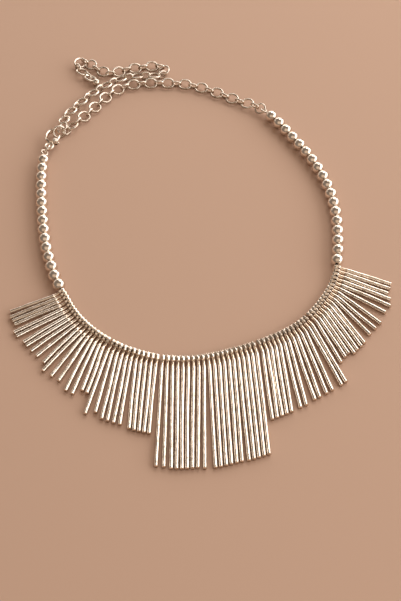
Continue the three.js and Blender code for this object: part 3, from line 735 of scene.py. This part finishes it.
caught_start, caught_end = (chosen_place(*end) for end in CAUGHT_ENDS)
tail_hook, tail_link_end = (chosen_place(*end) for end in FIRST_TAIL_ENDS)
chain_start = ring_end - ((RING["wire"] + SMALL_LINK["wire"]) / 2 + 1.5 * GAP)
side_links = lay_links("link", loop, chain_start, loop[1][-1],
                       [(SMALL_LINK, SMALL_ROLL), (BIG_LINK, BIG_ROLL)], CAUGHT_TWIST)
caught_link = wire_ring(**BIG_LINK)
caught_link.data.transform(hanging_frame(caught_start, caught_end, CAUGHT_ROLL))
first_tail_link = wire_ring(**SMALL_LINK)
first_tail_link.data.transform(hanging_frame(tail_hook, tail_link_end, TAIL_LINK_ROLL))
side_chain = joined([*side_links, caught_link, first_tail_link], "chain_links_side")
dress(side_chain, aged)
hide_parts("side_chain")


# The tail: the rest of the same chain. It doubles back beside the side chain and folds on itself. Its last
# link holds the eye of a small solid ball.
TAIL = [
    (-57, 98.6, 1.2), (-55.2, 103.4, 0.3), (-51.2, 110), (-45.8, 117), (-40, 122.6), (-34.6, 126.4),
    (-29, 128.2), (-23, 128.8), (-18.2, 128.4), (-14.9, 130.6), (-15.6, 134.4), (-19.6, 135.3),
    (-24.8, 134.4), (-29.6, 133.4), (-33.6, 132.2), (-37.6, 130.1), (-41, 130.2), (-44.2, 132.8),
    (-47.4, 135.6), (-50, 138.9), (-53, 139.7), (-54.2, 137.2), (-52.8, 133.5), (-50.4, 130.2),
    (-47.6, 127.3), (-46.61, 126.28),
]
BALL_DIAMETER = 3.2 * MM
BALL_EYE = {"length": 3 * MM, "width": 3 * MM, "wire": 0.7 * MM}
BALL_EYE_ROLL = 20
BALL_EYE_ENDS = [(-47.13, 126.82, 1.7), (-45.54, 125.16, 1.7)]

tail = line_through([tail_link_end, *(line_place(*point) for point in TAIL)])
tail_links = lay_links("link", tail, 0, tail[1][-1], [(BIG_LINK, BIG_ROLL), (SMALL_LINK, SMALL_ROLL)])
tail_chain = joined(tail_links, "chain_links_tail")
dress(tail_chain, aged)
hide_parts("tail_chain")

eye_start, eye_end = (chosen_place(*end) for end in BALL_EYE_ENDS)
ball_middle = eye_end + (eye_end - eye_start).normalized() * (BALL_DIAMETER - BALL_EYE["wire"]) / 2
bpy.ops.mesh.primitive_uv_sphere_add(segments=28, ring_count=16, radius=BALL_DIAMETER / 2)
ball = bpy.context.object
ball.data.transform(Matrix.Translation(ball_middle))
close_up(ball, 60)
ball_eye = wire_ring(**BALL_EYE)
ball_eye.data.transform(hanging_frame(eye_start, eye_end, BALL_EYE_ROLL))
end_ball = joined([ball, ball_eye], "solid_ball")
dress(end_ball, aged)
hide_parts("end_ball")


# The clasp's ring and the lobster clasp: a cast claw with an eye, and a sprung lever on a pin, which closes
# its mouth. The claw is forked round the lever's boss, and it holds the big link where the tail begins.
CLASP_RING_ROLL = -60
CLASP_HEIGHT = 2.45 * MM
CLASP_HEADING = 157                               # degrees from straight down, from the ring to the clasp
CLASP_LEAN = 10
CLASP_EYE = {"length": 4.2 * MM, "width": 4.2 * MM, "wire": 1 * MM}
CLASP_EYE_HEIGHT = 1.3                            # against its width
CLAW_ACROSS = 2.625 * MM                          # from the claw's middle to the middle of its bar
CLAW_ALONG = 3.925 * MM
CLAW_REACH = 5.9 * MM                             # from the middle of the eye
CLAW_WIRE = 1.15 * MM
CLAW_HEIGHT = 2.4 * MM
PIVOT_AT = -46                                    # degrees round the claw from its right side
NOSE_AT = 36
LEVER_TIP_AT = 22
CLAW_STEPS = 44
LEVER_STEPS = 12
NOSE_TAPER = (0.5, 0.12)                          # a bar's share at its end, and what each step adds to it
LEVER_TAPER = (0.7, 0.15)
CHEEK_RADIUS = 1.15 * MM
CHEEK_SOFTNESS = 0.25 * MM
SLOT_RADIUS = 1.32 * MM
SLOT_HEIGHT = 1.44 * MM
PIN_RADIUS = 0.36 * MM
PIN_PROUD = 0.08 * MM                             # that its rounded ends stand out
LEVER_WIDTH = 0.9 * MM
LEVER_HEIGHT = 0.8 * MM
LEVER_BORE = 0.6 * MM                             # its radius
LEVER_BOSS = 1 * MM
LEVER_SOFTNESS = 0.15 * MM
TAB_AT = -26                                      # degrees from the claw's right to the lever's thumb tab
TAB = [(0.8 * MM, 1), (1.2 * MM, 1), (1.6 * MM, 0.95), (1.9 * MM, 0.7)]    # from the pivot, with its shares


def on_claw(degrees):
    """The middle of the claw's bar at an angle round it from its right side."""
    angle = math.radians(degrees)
    return Vector((CLAW_ACROSS * math.cos(angle), CLAW_REACH + CLAW_ALONG * math.sin(angle), 0))


def claw_bar(name, start, end, steps, thickness, taper):
    """A round bar along the claw's curve between two angles, thinner towards its end."""
    turns = [start + (end - start) * k / steps for k in range(steps + 1)]
    swells = [min(1, taper[0] + taper[1] * (steps - k)) for k in range(steps + 1)]
    return wire_through(name, [on_claw(turn) for turn in turns], thickness, swells)


def flattened(piece, share):
    """A piece that lies in the plane, made higher or lower."""
    pick(piece, "VERT", lambda co, normal: True)
    bpy.ops.transform.resize(value=(1, 1, share), center_override=(0, 0, 0))
    bpy.ops.object.mode_set(mode="OBJECT")
    return piece


def round_boss(radius, height, place, softness=0):
    """A short round pillar with softened rims."""
    bpy.ops.mesh.primitive_cylinder_add(vertices=32, radius=radius, depth=height)
    boss = bpy.context.object
    if softness:
        pick(boss, "EDGE", lambda middle, along: abs(middle.z) > height / 2 - FINE)
        bpy.ops.mesh.bevel(offset=softness, segments=3, affect="EDGES")
        bpy.ops.object.mode_set(mode="OBJECT")
    boss.data.transform(Matrix.Translation(place))
    return boss


def shaped_with(piece, tool, operation):
    """Adds another body to a piece or cuts it away."""
    modifier = piece.modifiers.new("shape", "BOOLEAN")
    modifier.operation = operation
    modifier.solver = "EXACT"
    modifier.object = tool
    take(piece)
    bpy.ops.object.modifier_apply(modifier="shape")
    bpy.data.objects.remove(tool)
    return piece


clasp_eye = at_height(left_eye + leaning(CLASP_HEADING) * (RING["length"] - RING["wire"]), CLASP_HEIGHT)
clasp_ring = wire_ring(**RING)
clasp_ring.data.transform(hanging_frame(left_eye, clasp_eye, CLASP_RING_ROLL))
clasp_ring.name = "jump_ring_left"
dress(clasp_ring, aged)
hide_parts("clasp_ring")

pivot = on_claw(PIVOT_AT)
clasp_place = Matrix.Translation(clasp_eye) @ Matrix.Rotation(math.radians(-CLASP_LEAN), 4, "Z")
claw = claw_bar("claw", PIVOT_AT, NOSE_AT - 360, CLAW_STEPS, CLAW_WIRE, NOSE_TAPER)
flattened(claw, CLAW_HEIGHT / CLAW_WIRE)
shaped_with(claw, flattened(wire_ring(**CLASP_EYE), CLASP_EYE_HEIGHT), "UNION")
shaped_with(claw, round_boss(CHEEK_RADIUS, CLAW_HEIGHT, pivot, CHEEK_SOFTNESS), "UNION")
shaped_with(claw, round_boss(SLOT_RADIUS, SLOT_HEIGHT, pivot), "DIFFERENCE")
shaped_with(claw, round_boss(PIN_RADIUS, CLAW_HEIGHT + 2 * PIN_PROUD, pivot, PIN_PROUD), "UNION")
close_up(claw)
claw.data.transform(clasp_place)
claw.name = "clasp_claw"
dress(claw, aged)
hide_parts("clasp_body")

lever = claw_bar("lever", PIVOT_AT, LEVER_TIP_AT, LEVER_STEPS, LEVER_WIDTH, LEVER_TAPER)
flattened(lever, LEVER_HEIGHT / LEVER_WIDTH)
shaped_with(lever, round_boss(LEVER_BOSS, LEVER_HEIGHT, pivot, LEVER_SOFTNESS), "UNION")
tab_out = Vector((math.cos(math.radians(TAB_AT)), math.sin(math.radians(TAB_AT)), 0))
tab_places = [pivot + tab_out * reach for reach, _ in TAB]
tab = wire_through("tab", tab_places, LEVER_WIDTH, [share for _, share in TAB])
shaped_with(lever, flattened(tab, LEVER_HEIGHT / LEVER_WIDTH), "UNION")
shaped_with(lever, round_boss(LEVER_BORE, CLAW_HEIGHT, pivot), "DIFFERENCE")
close_up(lever)
lever.data.transform(clasp_place)
lever.name = "clasp_sprung_lever"
dress(lever, aged, "lever")
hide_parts("clasp_lever")
